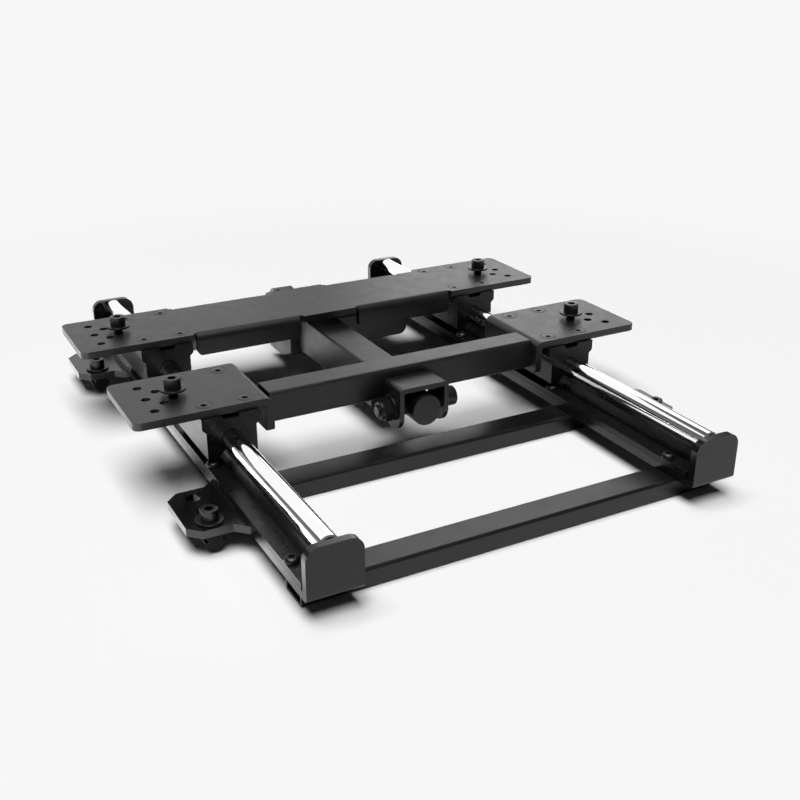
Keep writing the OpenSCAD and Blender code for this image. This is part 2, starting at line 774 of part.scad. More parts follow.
// A front bracket: a plate on one block, folded down on its inner side
module front_bracket(side) {
    y = plate_y[0];
    z0 = plate_top - bracket_drop;
    color(coat) mirror([side < 0 ? 1 : 0, 0, 0]) difference() {
        intersection() {
            along_y(y - plate_d / 2, y + plate_d / 2) translate([bracket_x, z0])
                mirror([1, 0]) folded_edge(plate_end - bracket_x, bracket_drop);
            along_x(0, carriage_w) translate([y - plate_d / 2, z0]) {
                round_rect([plate_d, 3 * small_corner_r], small_corner_r);
                translate([0, small_corner_r]) square([plate_d, bracket_drop]);
            }
            linear_extrude(plate_top + cut) translate([0, y - plate_d / 2]) {
                square([plate_end - 2 * plate_corner_r, plate_d]);
                translate([plate_end - 4 * plate_corner_r, 0])
                    round_rect([4 * plate_corner_r, plate_d], plate_corner_r);
            }
        }
        plate_holes(1, y);
    }
}

// The square tube between the front brackets, notched underneath for the actuator rod
module front_carriage_tube() {
    color(coat) difference() {
        along_x(-bracket_x, bracket_x) translate([tube_front_y, plate_top - carriage_tube])
            tube_section(carriage_tube, carriage_tube);
        bar_y(rod_d + 2 * rod_room, tube_front_y - cut, tube_back_y + cut, 0, pin_h);
    }
}

// The folded clevis in front of the carriage tube, with round cheeks about the pin
module front_clevis() {
    half = clevis_w / 2;
    cheek_r = clevis_d / 2;
    color(coat) difference() {
        intersection() {
            along_x(-half, half) {
                translate([front_pin_y, pin_h - cheek_sag]) circle(r = cheek_r);
                translate([front_pin_y - cheek_r, pin_h - cheek_sag])
                    square([clevis_d, clevis_top - pin_h + cheek_sag]);
            }
            along_y(front_pin_y - clevis_d, tube_front_y) {
                translate([-half, 0]) square([clevis_w, pin_h]);
                translate([-half, pin_h - clevis_w / 2])
                    round_rect([clevis_w, clevis_top - pin_h + clevis_w / 2], clevis_t);
            }
        }
        translate([-clevis_in, front_pin_y - clevis_d, 0])
            cube([2 * clevis_in, 2 * clevis_d, clevis_top - clevis_t]);
        bar_x(pin_d + 2 * thread_fit, -clevis_w, clevis_w, front_pin_y, pin_h);
    }
}

// The V-shaped slot that lets a block pass over its support's web
module slot_wedge(l) {
    depth = 2 * block_drop;
    spread = depth * tan(slot_angle / 2);
    along_y(-l, l) translate([0, shaft_z]) polygon([[0, 0], [-spread, -depth], [spread, -depth]]);
}

// A bearing block: shouldered body, bushing bore, web slot, top groove and tapped holes
module bearing_block() {
    half = block_w / 2;
    flank = half - flank_inset;
    top = plate_z;
    bottom = shaft_z - block_drop;
    color(anodised) difference() {
        along_y(-block_l / 2, block_l / 2) polygon([
            [-flank, bottom], [flank, bottom], [flank, top - shoulder_h - flank_inset],
            [half, top - shoulder_h], [half, top], [groove_w / 2, top],
            [groove_w / 2 - 1, top - groove_t], [-groove_w / 2 + 1, top - groove_t],
            [-groove_w / 2, top], [-half, top], [-half, top - shoulder_h],
            [-flank, top - shoulder_h - flank_inset]]);
        bar_y(bushing_d, -block_l, block_l, 0, shaft_z);
        slot_wedge(block_l);
        corners([0, 0], [block_screw_across, block_screw_along])
            translate([0, 0, plate_z - block_screw_grip - 1])
                cylinder(d = block_screw_d + 2 * thread_fit, h = block_screw_grip + 1 + cut);
    }
}

block_screw_grip = 10;

// A slotted ring round the shaft: the shape of the bushings and of their seals
module slotted_ring(outer_d, inner_d, l) {
    difference() {
        bar_y(outer_d - 2 * seat_fit, -l / 2, l / 2, 0, shaft_z);
        bar_y(inner_d, -l, l, 0, shaft_z);
        slot_wedge(l);
    }
}

// Two open ball bushings in each block
module ball_bushings() {
    color(bright) at_blocks() for (s = [-1, 1])
        translate([0, s * (block_l / 2 - seal_t - bushing_l / 2), 0])
            slotted_ring(bushing_d, shaft_d + 2 * run_clear, bushing_l);
}

// A rubber seal in each end of each block
module block_seals() {
    color(rubbery) at_blocks() for (s = [-1, 1])
        translate([0, s * (block_l - seal_t) / 2, 0])
            slotted_ring(bushing_d, shaft_d + 2 * seal_room, seal_t);
}

// Countersunk screws that hold the plates on the blocks
module block_screws() {
    color(blackened) at_blocks() corners([0, 0], [block_screw_across, block_screw_along])
        translate([0, 0, plate_top]) difference() {
            union() {
                flat_cone(0);
                translate([0, 0, -sheet_t - block_screw_grip])
                    cylinder(d = block_screw_d, h = sheet_t + block_screw_grip - eps);
            }
            key_socket(0.67 * block_screw_d, 0.5 * block_screw_d);
        }
}

// Places its child on the apex hole of each plate end
module seat_screw_places() {
    for (sx = [-1, 1], y = plate_y) translate([sx * seat_apex_x, y, plate_top + seat_screw_lift])
        children();
}

module seat_screws() {
    color(blackened) seat_screw_places() translate([0, 0, washer_t])
        cap_screw(big_screw_d, big_head_d, big_head_h,
            washer_t + seat_screw_lift + sheet_t + seat_screw_reach);
}

module seat_washers() {
    color(blackened) seat_screw_places() ring(washer_d, big_screw_d + ring_room, washer_t);
}

clevis_seat = clevis_w / 2 + pin_washer_t;

module clevis_bolt() {
    color(blackened) pivot_bolt(clevis_seat, clevis_seat, front_pin_y);
}

module clevis_nut() {
    color(blackened) pivot_nut(clevis_seat, front_pin_y);
}

// One washer outside each clevis cheek
module clevis_washers() {
    color(blackened) for (x = [-clevis_seat, clevis_w / 2])
        translate([x, front_pin_y, pin_h]) rotate([0, 90, 0])
            ring(pin_washer_d, pin_d + ring_room, pin_washer_t);
}

// Spacer sleeves between the rod end and the cheeks
module clevis_spacers() {
    color(blackened) for (x = [-clevis_in, rod_flat_x])
        translate([x, front_pin_y, pin_h]) rotate([0, 90, 0])
            ring(1.5 * pin_d, pin_d + ring_room, clevis_in - rod_flat_x);
}

// The rod that slides in the actuator and pushes the clevis
module actuator_rod() {
    color(bright) bar_y(rod_d, front_pin_y + rod_end_d / 2, rod_back_y, 0, pin_h);
}

// The rod's end piece: a short bar with two flats and a cross hole for the clevis bolt
module rod_end() {
    color(blackened) difference() {
        intersection() {
            bar_y(rod_end_d, rod_end_front, front_pin_y + rod_end_d / 2, 0, pin_h);
            translate([-rod_flat_x, rod_end_front - cut, 0])
                cube([2 * rod_flat_x, 2 * rod_end_d, plate_top]);
        }
        bar_x(pin_d + 2 * thread_fit, -rod_end_d, rod_end_d, front_pin_y, pin_h);
    }
}

// Named pieces that come in pairs or rows

module left_rail_tray() { color(coat) rail_tray(-1); }
module right_rail_tray() { color(coat) rail_tray(1); }
module left_rail_support() { color(anodised) rail_support(-1); }
module right_rail_support() { color(anodised) rail_support(1); }
module left_shaft() { color(bright) guide_shaft(-1); }
module right_shaft() { color(bright) guide_shaft(1); }
module front_cross_tube() { color(coat) cross_tube(-cross_end_y); }
module middle_cross_tube() { color(coat) cross_tube(cross_mid_y); }
module rear_cross_tube() { color(coat) cross_tube(cross_end_y); }
module left_front_bracket() { front_bracket(-1); }
module right_front_bracket() { front_bracket(1); }
module front_left_block() { translate([-rail_x, plate_y[0], 0]) bearing_block(); }
module front_right_block() { translate([rail_x, plate_y[0], 0]) bearing_block(); }
module rear_left_block() { translate([-rail_x, plate_y[1], 0]) bearing_block(); }
module rear_right_block() { translate([rail_x, plate_y[1], 0]) bearing_block(); }

left_rail_tray();
right_rail_tray();
left_rail_support();
right_rail_support();
left_shaft();
right_shaft();
front_cross_tube();
middle_cross_tube();
rear_cross_tube();
rail_screws();
shaft_screws();
ear_screws();
ear_washers();
tee_nuts();
anchor_bracket();
anchor_bolt();
anchor_nut();
actuator_profile();
actuator_cap();
gear_housing();
motor_housing();
rear_plate();
left_front_bracket();
right_front_bracket();
front_carriage_tube();
front_clevis();
front_left_block();
front_right_block();
rear_left_block();
rear_right_block();
ball_bushings();
block_seals();
block_screws();
seat_screws();
seat_washers();
clevis_bolt();
clevis_nut();
clevis_washers();
clevis_spacers();
actuator_rod();
rod_end();
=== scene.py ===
"""Studio scene of a motorised seat slide with two round-shaft rails.

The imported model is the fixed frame. Each sub-assembly class takes the pieces of that frame that it stands
for, breaks their edges, gives them a finish, and replaces plain screws, washers and nuts by finer ones of the
same size. Lengths are in metres in the frame's axes: X across, -Y to the front, Z up. Places in the
sub-assemblies are in millimetres.
"""
import logging
import math
from dataclasses import dataclass, field, replace
from enum import Enum

import bmesh
import bpy
import numpy as np
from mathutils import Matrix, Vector


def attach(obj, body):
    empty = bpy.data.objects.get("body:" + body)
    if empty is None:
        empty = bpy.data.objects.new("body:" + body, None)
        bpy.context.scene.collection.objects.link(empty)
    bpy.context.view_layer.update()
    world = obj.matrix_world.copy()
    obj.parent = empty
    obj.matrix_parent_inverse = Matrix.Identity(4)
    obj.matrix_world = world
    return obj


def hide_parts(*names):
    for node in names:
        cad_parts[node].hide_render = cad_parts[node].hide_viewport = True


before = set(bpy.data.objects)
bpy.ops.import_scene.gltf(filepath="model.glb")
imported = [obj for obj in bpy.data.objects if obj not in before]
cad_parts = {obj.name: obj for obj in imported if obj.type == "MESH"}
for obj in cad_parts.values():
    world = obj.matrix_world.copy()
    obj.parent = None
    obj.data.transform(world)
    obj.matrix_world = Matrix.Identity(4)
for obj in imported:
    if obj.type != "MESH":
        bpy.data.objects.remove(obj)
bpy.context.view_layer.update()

LOG = logging.getLogger("seat_slide")
MM = 0.001
TURN = 2.0 * math.pi
QUARTER = TURN / 4.0
CAD_WELD = 2e-6
TURNED_WELD = 1e-6
FLAT_ANGLE = math.radians(0.4)
FACE_WEIGHT = 100
WHITE = (1.0, 1.0, 1.0, 1.0)

Triple = tuple[float, float, float]
Row = tuple[np.ndarray | float, float]


class Body(Enum):
    """The two bodies of the slide."""

    BASE = "base"
    CARRIAGE = "carriage"


class Slot(Enum):
    """Material slots of the record."""

    COAT = "black_coat"
    ANODISED = "black_anodised"
    SHAFT = "ground_shaft"
    FASTENER = "black_fasteners"
    RUBBER = "black_rubber"
    PLASTIC = "black_plastic"
    BUSHING = "bushing_steel"


class Graph:
    """A node tree with short calls that add and link nodes."""

    NOISE_LOW = 0.3
    NOISE_HIGH = 0.7

    def __init__(self, tree: bpy.types.NodeTree) -> None:
        """Takes a tree and empties it."""
        self.tree = tree
        self.tree.nodes.clear()

    def add(self, kind: str, settings: dict[str, str] | None = None, plain: tuple = (),
            **inputs: object) -> bpy.types.Node:
        """Adds a node.

        Args:
            kind: the node's type name.
            settings: properties of the node itself.
            plain: values or sockets for the first inputs in their order.
            inputs: values or sockets for inputs by name, with spaces as underscores.

        Returns:
            The new node.
        """
        node = self.tree.nodes.new(kind)
        for key, value in (settings or {}).items():
            setattr(node, key, value)
        for index, value in enumerate(plain):
            self.put(node.inputs[index], value)
        for key, value in inputs.items():
            self.put(node.inputs[key.replace("_", " ")], value)
        return node

    def put(self, socket: bpy.types.NodeSocket, value: object) -> None:
        """Links an input, or sets its value.

        Args:
            socket: the input.
            value: an output to link, or a plain value.
        """
        if isinstance(value, bpy.types.NodeSocket):
            self.tree.links.new(value, socket)
        else:
            socket.default_value = value

    def noise(self, scale: Triple, detail: float) -> bpy.types.NodeSocket:
        """A noise over object coordinates.

        Args:
            scale: cells per metre along each axis.
            detail: how many finer octaves it has.

        Returns:
            The noise value.
        """
        source = self.add("ShaderNodeTexCoord")
        mapping = self.add("ShaderNodeMapping", Vector=source.outputs["Object"], Scale=scale)
        node = self.add("ShaderNodeTexNoise", Vector=mapping.outputs["Vector"], Scale=1.0, Detail=detail)
        return node.outputs["Fac"]

    def remap(self, value: bpy.types.NodeSocket, low: float, high: float) -> bpy.types.NodeSocket:
        """Maps the middle of a noise's range onto low to high."""
        node = self.add("ShaderNodeMapRange", Value=value, From_Min=self.NOISE_LOW, From_Max=self.NOISE_HIGH,
                        To_Min=low, To_Max=high)
        return node.outputs["Result"]

    def blend(self, factor: bpy.types.NodeSocket, low: object, high: object) -> bpy.types.NodeSocket:
        """Mixes two numbers by a factor."""
        node = self.add("ShaderNodeMix", {"data_type": "FLOAT"}, Factor=factor, A=low, B=high)
        return node.outputs["Result"]

    def tint(self, factor: bpy.types.NodeSocket, dark: Triple, light: Triple) -> bpy.types.NodeSocket:
        """Mixes two colours by a factor."""
        node = self.add("ShaderNodeMix", {"data_type": "RGBA"}, Factor=factor, A=(*dark, 1.0),
                        B=(*light, 1.0))
        return node.outputs["Result"]

    def bump(self, height: bpy.types.NodeSocket, depth: float, strength: float) -> bpy.types.NodeSocket:
        """A bumped normal from a height value."""
        node = self.add("ShaderNodeBump", Height=height, Distance=depth, Strength=strength)
        return node.outputs["Normal"]


@dataclass(frozen=True)
class Finish:
    """A dark or bright surface with two tones, uneven gloss and a fine relief.

    The relief is a noise with its own scale per axis, so that one form serves orange peel on powder coat,
    drawing lines on extruded aluminium, grinding lines on a shaft and grain on plastic.
    """

    name: str
    slot: Slot
    dark: Triple
    light: Triple
    gloss: tuple[float, float]
    relief_scale: Triple
    relief_depth: float
    relief_strength: float
    relief_detail: float = 2.0
    metallic: float = 0.0
    specular: float = 0.5
    tone_scale: float = 14.0
    tone_detail: float = 4.0
    gloss_scale: float = 90.0
    gloss_detail: float = 3.0

    def material(self) -> bpy.types.Material:
        """Makes this finish's material once.

        Returns:
            The material.
        """
        found = bpy.data.materials.get(self.name)
        if found is not None:
            return found
        material = bpy.data.materials.new(self.name)
        material.use_nodes = True
        graph = Graph(material.node_tree)
        tone = graph.noise((self.tone_scale,) * 3, self.tone_detail)
        gloss = graph.noise((self.gloss_scale,) * 3, self.gloss_detail)
        relief = graph.noise(self.relief_scale, self.relief_detail)
        shader = graph.add(
            "ShaderNodeBsdfPrincipled",
            Base_Color=graph.tint(graph.remap(tone, 0.0, 1.0), self.dark, self.light),
            Roughness=graph.remap(gloss, *self.gloss),
            Metallic=self.metallic,
            Specular_IOR_Level=self.specular,
            Normal=graph.bump(relief, self.relief_depth, self.relief_strength),
        )
        graph.add("ShaderNodeOutputMaterial", Surface=shader.outputs["BSDF"])
        return material


ORANGE_PEEL = (850.0, 850.0, 850.0)
DRAWING_LINES = (1500.0, 12.0, 1500.0)
GRINDING_LINES = (900.0, 2500.0, 900.0)
OXIDE_GRAIN = (1400.0, 1400.0, 1400.0)
RUBBER_GRAIN = (1200.0, 1200.0, 1200.0)
PLASTIC_GRAIN = (1600.0, 1600.0, 1600.0)
BUSHING_GRAIN = (900.0, 900.0, 900.0)

COAT = Finish(
    "satin_powder_coat", Slot.COAT, dark=(0.0045, 0.0045, 0.0047), light=(0.0062, 0.0062, 0.0065),
    gloss=(0.34, 0.41), relief_scale=ORANGE_PEEL, relief_depth=0.00004, relief_strength=0.22,
)
BASE_COAT = replace(
    COAT, name="glossy_base_coat", dark=(0.0035, 0.0035, 0.0037), light=(0.005, 0.005, 0.0053),
    gloss=(0.16, 0.2), relief_strength=0.08, specular=0.45,
)
TUBE = replace(COAT, name="matt_tube_coat", gloss=(0.28, 0.34), relief_strength=0.16, specular=0.42)
FLUSH = replace(COAT, name="coated_flat_heads", slot=Slot.FASTENER)
ANODISED = Finish(
    "black_anodised_extrusion", Slot.ANODISED, dark=(0.0038, 0.0038, 0.004), light=(0.0052, 0.0052, 0.0055),
    gloss=(0.26, 0.31), relief_scale=DRAWING_LINES, relief_depth=0.00002, relief_strength=0.07, specular=0.3,
)
PROFILE = replace(
    ANODISED, name="black_anodised_profile", gloss=(0.3, 0.38), relief_strength=0.1, specular=0.4,
)
GROUND = Finish(
    "ground_shaft_steel", Slot.SHAFT, dark=(0.94, 0.945, 0.95), light=(0.97, 0.972, 0.975),
    gloss=(0.035, 0.06), relief_scale=GRINDING_LINES, relief_depth=0.000003, relief_strength=0.02,
    metallic=1.0,
)
# Steel of the actuator rod, with its colour darkened from the shafts' bright steel as painted shade. This dims
# the rod's glint where it lies in the clevis' shade.
SHADE_DARKENED_ROD = replace(
    GROUND, name="actuator_rod_steel_painted_shade", dark=(0.5, 0.5, 0.51), light=(0.58, 0.58, 0.59),
    gloss=(0.12, 0.2), relief_strength=0.1,
)
OXIDE = Finish(
    "black_oxide_steel", Slot.FASTENER, dark=(0.0035, 0.0035, 0.0035), light=(0.0055, 0.0055, 0.0055),
    gloss=(0.27, 0.36), relief_scale=OXIDE_GRAIN, relief_depth=0.00002, relief_strength=0.2, specular=0.42,
)
DULL = replace(OXIDE, name="dull_oxide_nuts", gloss=(0.55, 0.65), specular=0.12)
RUBBER = Finish(
    "soft_black_rubber", Slot.RUBBER, dark=(0.0035, 0.0035, 0.0035), light=(0.0045, 0.0045, 0.0045),
    gloss=(0.28, 0.36), relief_scale=RUBBER_GRAIN, relief_depth=0.00003, relief_strength=0.2, specular=0.28,
)
PLASTIC = Finish(
    "grained_black_plastic", Slot.PLASTIC, dark=(0.0042, 0.0042, 0.0044), light=(0.0056, 0.0056, 0.0058),
    gloss=(0.4, 0.5), relief_scale=PLASTIC_GRAIN, relief_depth=0.00004, relief_strength=0.35,
)
BUSHING = Finish(
    "bushing_steel", Slot.BUSHING, dark=(0.46, 0.46, 0.47), light=(0.58, 0.58, 0.59),
    gloss=(0.2, 0.3), relief_scale=BUSHING_GRAIN, relief_depth=0.00001, relief_strength=0.2, metallic=1.0,
)


@dataclass(frozen=True)
class Turned:
    """A form that is turned about its own Z axis, with a radius that may also vary with the angle."""

    columns: int = field(default=96, kw_only=True)
    crease: float = field(default=32.0, kw_only=True)
    ring: bool = field(default=False, kw_only=True)

    def rows(self) -> list[Row]:
        """Radius and height of each row along the section; a ring repeats its first row at the end."""
        raise NotImplementedError

    def angles(self) -> np.ndarray:
        """Evenly spaced angles of one turn."""
        return np.arange(self.columns) * (TURN / self.columns)

    def hexagon(self, flats: float) -> np.ndarray:
        """Radius of a hexagon: (flats / 2) / cos(a), with a the angle to the nearest flat's middle.

        Args:
            flats: its width over flats.

        Returns:
            The radius at each angle.
        """
        sector = TURN / 6.0
        off = np.mod(self.angles() + sector / 2.0, sector) - sector / 2.0
        return flats / 2.0 / np.cos(off)


class Lathe:
    """Makes meshes of turned forms."""

    @staticmethod
    def mesh(form: Turned, places: np.ndarray, basis: np.ndarray) -> bpy.types.Mesh:
        """Makes copies of a turned form as one mesh.

        A point of row i and column j is (r_ij cos a_j, r_ij sin a_j, h_i), turned by the basis and moved to
        each place. The first and last rows of a form that is no ring are closed with one face each.

        Args:
            form: the turned form.
            places: origins of the copies in metres, one per row.
            basis: three rows that hold the local X, Y and Z axes.

        Returns:
            The mesh, with its faces looking outwards.
        """
        rows = form.rows()
        angle = form.angles()
        columns = form.columns
        radius = np.stack([np.broadcast_to(r, columns) for r, _ in rows])
        height = np.broadcast_to(np.array([h for _, h in rows])[:, None], radius.shape)
        local = np.stack([radius * np.cos(angle), radius * np.sin(angle), height], axis=-1)
        local = local.reshape(-1, 3) @ basis
        points = (places[:, None, :] + local[None, :, :]).reshape(-1, 3)
        row, column = np.meshgrid(np.arange(len(rows) - 1), np.arange(columns), indexing="ij")
        after = (column + 1) % columns
        quads = np.stack([row * columns + column, row * columns + after,
                          (row + 1) * columns + after, (row + 1) * columns + column], axis=-1).reshape(-1, 4)
        step = len(local) * np.arange(len(places))
        faces = (quads[None] + step[:, None, None]).reshape(-1, 4).tolist()
        if not form.ring:
            first = np.arange(columns)
            last = len(local) - columns + first
            faces += (first[None] + step[:, None]).tolist() + (last[None] + step[:, None]).tolist()
        mesh = bpy.data.meshes.new("turned")
        mesh.from_pydata(points.tolist(), [], faces)
        work = bmesh.new()
        work.from_mesh(mesh)
        bmesh.ops.remove_doubles(work, verts=work.verts, dist=TURNED_WELD)
        bmesh.ops.recalc_face_normals(work, faces=work.faces)
        work.to_mesh(mesh)
        work.free()
        return mesh


UPRIGHT = np.eye(3)
HEAD_RIGHT = np.array([[0.0, 0.0, -1.0], [0.0, 1.0, 0.0], [1.0, 0.0, 0.0]])
HEAD_LEFT = np.array([[0.0, 0.0, 1.0], [0.0, 1.0, 0.0], [-1.0, 0.0, 0.0]])


@dataclass(frozen=True)
class Socket:
    """A hexagon socket with a bevelled mouth and, where it has one, a drilled cone under its floor.

    share is the width over flats as a share of the thread. lead and spread are the bevel's height and width,
    and drop is how far the mouth lies under the face. inner is the flat floor's share of the hexagon, and rise
    the height of the corner round it. cone is the cone's depth as a share of the width over flats, cone_rim
    holds its rim's shares of the hexagon and of that width, and point is the radius of the small face in the
    middle.
    """

    share: float
    lead: float
    spread: float
    drop: float = 0.0
    inner: float = 0.97
    rise: float = 0.1 * MM
    cone: float = 0.0
    cone_rim: tuple[float, float] = (0.8, 0.03)
    point: float = 0.05 * MM

    def rows(self, form: Turned, thread: float, floor: float, top: float) -> list[Row]:
        """Rows from the middle of the floor up to the mouth.

        Args:
            form: the turned form that the socket is cut into.
            thread: that form's thread diameter.
            floor: height of the socket's floor.
            top: height of the face round its mouth.

        Returns:
            Radius and height of each row.
        """
        flats = self.share * thread
        hexagon = form.hexagon(flats)
        middle = [(self.point, floor - self.cone * flats)]
        if self.cone > 0.0:
            share, depth = self.cone_rim
            middle.append((share * hexagon, floor - depth * flats))
        return middle + [
            (self.inner * hexagon, floor),
            (hexagon, floor + self.rise),
            (hexagon, top - self.lead),
            (hexagon + self.spread, top - self.drop),
        ]


@dataclass(frozen=True)
class CapScrew(Turned):
    """A knurled cap screw with a hexagon socket and a cut thread; its seat is at local height 0.

    edge_round holds points of the head's rounded upper edge as shares of edge, inwards and downwards, and
    knurl_start is where the knurls are full, as a share of edge too. socket_depth is a share of the head's
    height, and thread_depth of the pitch.
    """

    thread: float
    head: float
    head_height: float
    reach: float
    pitch: float
    socket: Socket = Socket(0.75, 0.25 * MM, 0.175 * MM, inner=0.985, cone=0.2)
    socket_depth: float = 0.5
    edge: float = 0.6 * MM
    edge_round: tuple = ((1.0, 0.0), (0.6, 0.1), (0.22, 0.45))
    knurls: int = 48
    knurl_depth: float = 0.05 * MM
    knurl_inset: float = 0.02 * MM
    knurl_start: float = 1.3
    knurl_foot: float = 1.0 * MM
    groove: float = 0.1 * MM
    groove_height: float = 0.6 * MM
    foot_height: float = 0.4 * MM
    foot_lead: float = 0.15 * MM
    neck: float = 0.1 * MM
    thread_depth: float = 0.5
    thread_steps: int = 6
    crest_slope: float = 1.25
    crest_flat: float = 0.15
    run_out: float = 0.6 * MM
    tip: float = 0.3 * MM
    tip_lead: float = 0.4 * MM
    columns: int = field(default=144, kw_only=True)

    def rows(self) -> list[Row]:
        """Rows from the socket's floor over the head to the tip.

        Returns:
            Radius and height of each row.
        """
        top = self.head_height
        floor = top - self.socket_depth * self.head_height
        return self.socket.rows(self, self.thread, floor, top) + self.head_rows() + self.thread_rows()

    def head_rows(self) -> list[Row]:
        """Rows of the head's outside, whose side is a cosine of the angle with one ridge per knurl.

        Returns:
            Radius and height of each row.
        """
        top = self.head_height
        rim = self.head / 2.0
        ridge = rim - self.knurl_depth * (0.5 + 0.5 * np.cos(self.knurls * self.angles()))
        crown = [(rim - inward * self.edge, top - down * self.edge) for inward, down in self.edge_round]
        knurl = [
            (ridge - self.knurl_inset, top - self.edge),
            (ridge, top - self.knurl_start * self.edge),
            (ridge, self.knurl_foot),
        ]
        foot = [
            (rim - self.groove, self.groove_height),
            (rim, self.foot_height),
            (rim, self.foot_lead),
            (rim - self.foot_lead, 0.0),
            (self.thread / 2.0 + self.neck, 0.0),
        ]
        return crown + knurl + foot

    def thread_rows(self) -> list[Row]:
        """Rows of the thread: a triangle wave of height / pitch - angle / turn, one pitch in a turn.

        Returns:
            Radius and height of each row.
        """
        outer = self.thread / 2.0
        depth = self.thread_depth * self.pitch
        drop = np.arange(self.neck, self.reach - self.run_out, self.pitch / self.thread_steps)
        wave = np.abs(2.0 * np.mod(drop[:, None] / self.pitch - self.angles()[None, :] / TURN, 1.0) - 1.0)
        shank = outer - depth * np.clip(self.crest_slope * wave - self.crest_flat, 0.0, 1.0)
        core = outer - depth
        tip = [(core, -self.reach + self.tip), (core - self.tip_lead, -self.reach)]
        return list(zip(shank, -drop)) + tip


@dataclass(frozen=True)
class ButtonScrew(Turned):
    """A domed screw with a hexagon socket and a plain shank; its seat is at local height 0.

    The shares are of the head's height, apart from flat_share, which is of its radius.
    """

    thread: float
    head: float
    head_height: float
    reach: float
    socket: Socket = Socket(0.67, 0.2 * MM, 0.12 * MM, drop=0.03 * MM)
    socket_wall: float = 0.16 * MM
    floor_share: float = 0.4
    flat_share: float = 0.44
    foot_share: float = 0.12
    foot_lead: float = 0.1 * MM
    dome_steps: int = 14
    tip: float = 0.3 * MM

    def rows(self) -> list[Row]:
        """Rows from the socket's floor over the dome to the tip.

        The dome is a quarter ellipse from the flat round the socket down to the rim.

        Returns:
            Radius and height of each row.
        """
        top = self.head_height
        rim = self.head / 2.0
        flat = self.flat_share * rim
        foot = self.foot_share * top
        mouth = self.hexagon(self.socket.share * self.thread) + self.socket_wall
        swing = np.linspace(QUARTER, 0.0, self.dome_steps)
        dome = zip(flat + (rim - flat) * np.cos(swing), foot + (top - foot) * np.sin(swing))
        crown = [(np.maximum(radius, mouth), height) for radius, height in dome]
        outer = self.thread / 2.0
        shank = [
            (rim - self.foot_lead, 0.0),
            (outer, 0.0),
            (outer, -self.reach + self.tip),
            (outer - self.tip, -self.reach),
        ]
        return self.socket.rows(self, self.thread, self.floor_share * top, top) + crown + shank


@dataclass(frozen=True)
class FlatScrew(Turned):
    """A countersunk screw with a hexagon socket; the plate's face is at local height 0.

    rim_round holds points of the head's rounded rim, inwards and downwards, and socket_depth is a share of
    the thread.
    """

    thread: float
    head: float
    reach: float
    socket: Socket = Socket(0.67, 0.3 * MM, 0.2 * MM, drop=0.05 * MM)
    socket_depth: float = 0.75
    lip: float = 0.3 * MM
    rim_round: tuple = ((0.2 * MM, 0.05 * MM), (0.03 * MM, 0.12 * MM))
    sink: float = 0.1 * MM
    tip: float = 0.3 * MM

    def rows(self) -> list[Row]:
        """Rows from the socket's floor over the flat top to the tip.

        Returns:
            Radius and height of each row.
        """
        rim = self.head / 2.0 - self.lip
        cone = self.head / 2.0 - self.thread / 2.0
        shank = self.thread / 2.0
        socket = self.socket.rows(self, self.thread, -self.socket_depth * self.thread, 0.0)
        face = [(rim - inward, -down) for inward, down in self.rim_round]
        return socket + face + [
            (rim, -self.lip - self.sink),
            (shank, -cone - self.sink),
            (shank, -self.reach + self.tip),
            (shank - self.tip, -self.reach),
        ]


@dataclass(frozen=True)
class RoundWasher(Turned):
    """A flat ring with rolled edges that lies on local height 0."""

    outer: float
    inner: float
    thickness: float
    edge: float = 0.3 * MM
    edge_steps: int = 4
    ring: bool = field(default=True, kw_only=True)

    def rows(self) -> list[Row]:
        """Rows round the section: four quarter circles of the edge radius at its corners.

        Returns:
            Radius and height of each row.
        """
        swing = np.linspace(0.0, QUARTER, self.edge_steps)
        near, far = self.inner / 2.0 + self.edge, self.outer / 2.0 - self.edge
        low, high = self.edge, self.thickness - self.edge
        rise, fall = self.edge * np.sin(swing), self.edge * np.cos(swing)
        loop = [*zip(far + rise, low - fall), *zip(far + fall, high + rise),
                *zip(near - rise, high + fall), *zip(near - fall, low - rise)]
        return loop + loop[:1]


@dataclass(frozen=True)
class LockNut(Turned):
    """A hexagon nut with a round collar that holds a nylon ring; its seat is at local height 0.

    face_share and collar_width are shares of the width over flats, and collar_share of the height. nylon
    holds points of the ring's section, outwards from the hole and downwards from the top.
    """

    flats: float
    height: float
    hole: float
    hole_lead: float = 0.5 * MM
    face_share: float = 0.94
    corner_angle: float = 60.0
    corner_steps: int = 6
    collar_share: float = 0.3
    collar_width: float = 0.9
    collar_step: float = 0.05 * MM
    fillet: float = 0.9 * MM
    fillet_steps: int = 6
    nylon: tuple = ((1.6 * MM, 0.0), (1.5 * MM, 0.5 * MM), (0.2 * MM, 0.5 * MM), (0.0, 0.8 * MM))
    ring: bool = field(default=True, kw_only=True)
    columns: int = field(default=144, kw_only=True)

    def rows(self) -> list[Row]:
        """Rows from the hole's lower edge round the outside to its upper edge.

        Each row of the hexagon is the smaller of the hexagon's radius and a 30 degree cone that rounds its
        corners off.

        Returns:
            Radius and height of each row.
        """
        hexagon = self.hexagon(self.flats)
        reach = float(hexagon.max())
        top = self.height
        body = self.height * (1.0 - self.collar_share)
        face = self.face_share * self.flats / 2.0
        collar = self.collar_width * self.flats / 2.0
        bore = self.hole / 2.0
        slope = math.tan(math.radians(self.corner_angle))
        levels = np.linspace(0.0, (reach - face) / slope, self.corner_steps)
        lower = [(np.minimum(hexagon, face + slope * level), level) for level in levels]
        upper = [(np.minimum(hexagon, face + slope * level), body - level) for level in levels[::-1]]
        swing = np.linspace(0.0, QUARTER, self.fillet_steps)
        middle, base = collar - self.fillet, top - self.fillet
        rim = zip(middle + self.fillet * np.cos(swing), base + self.fillet * np.sin(swing))
        nylon = [(bore + outward, top - down) for outward, down in self.nylon]
        loop = [(bore + self.hole_lead, 0.0), *lower, *upper, (collar, body + self.collar_step), *rim, *nylon,
                (bore, self.hole_lead)]
        return loop + loop[:1]


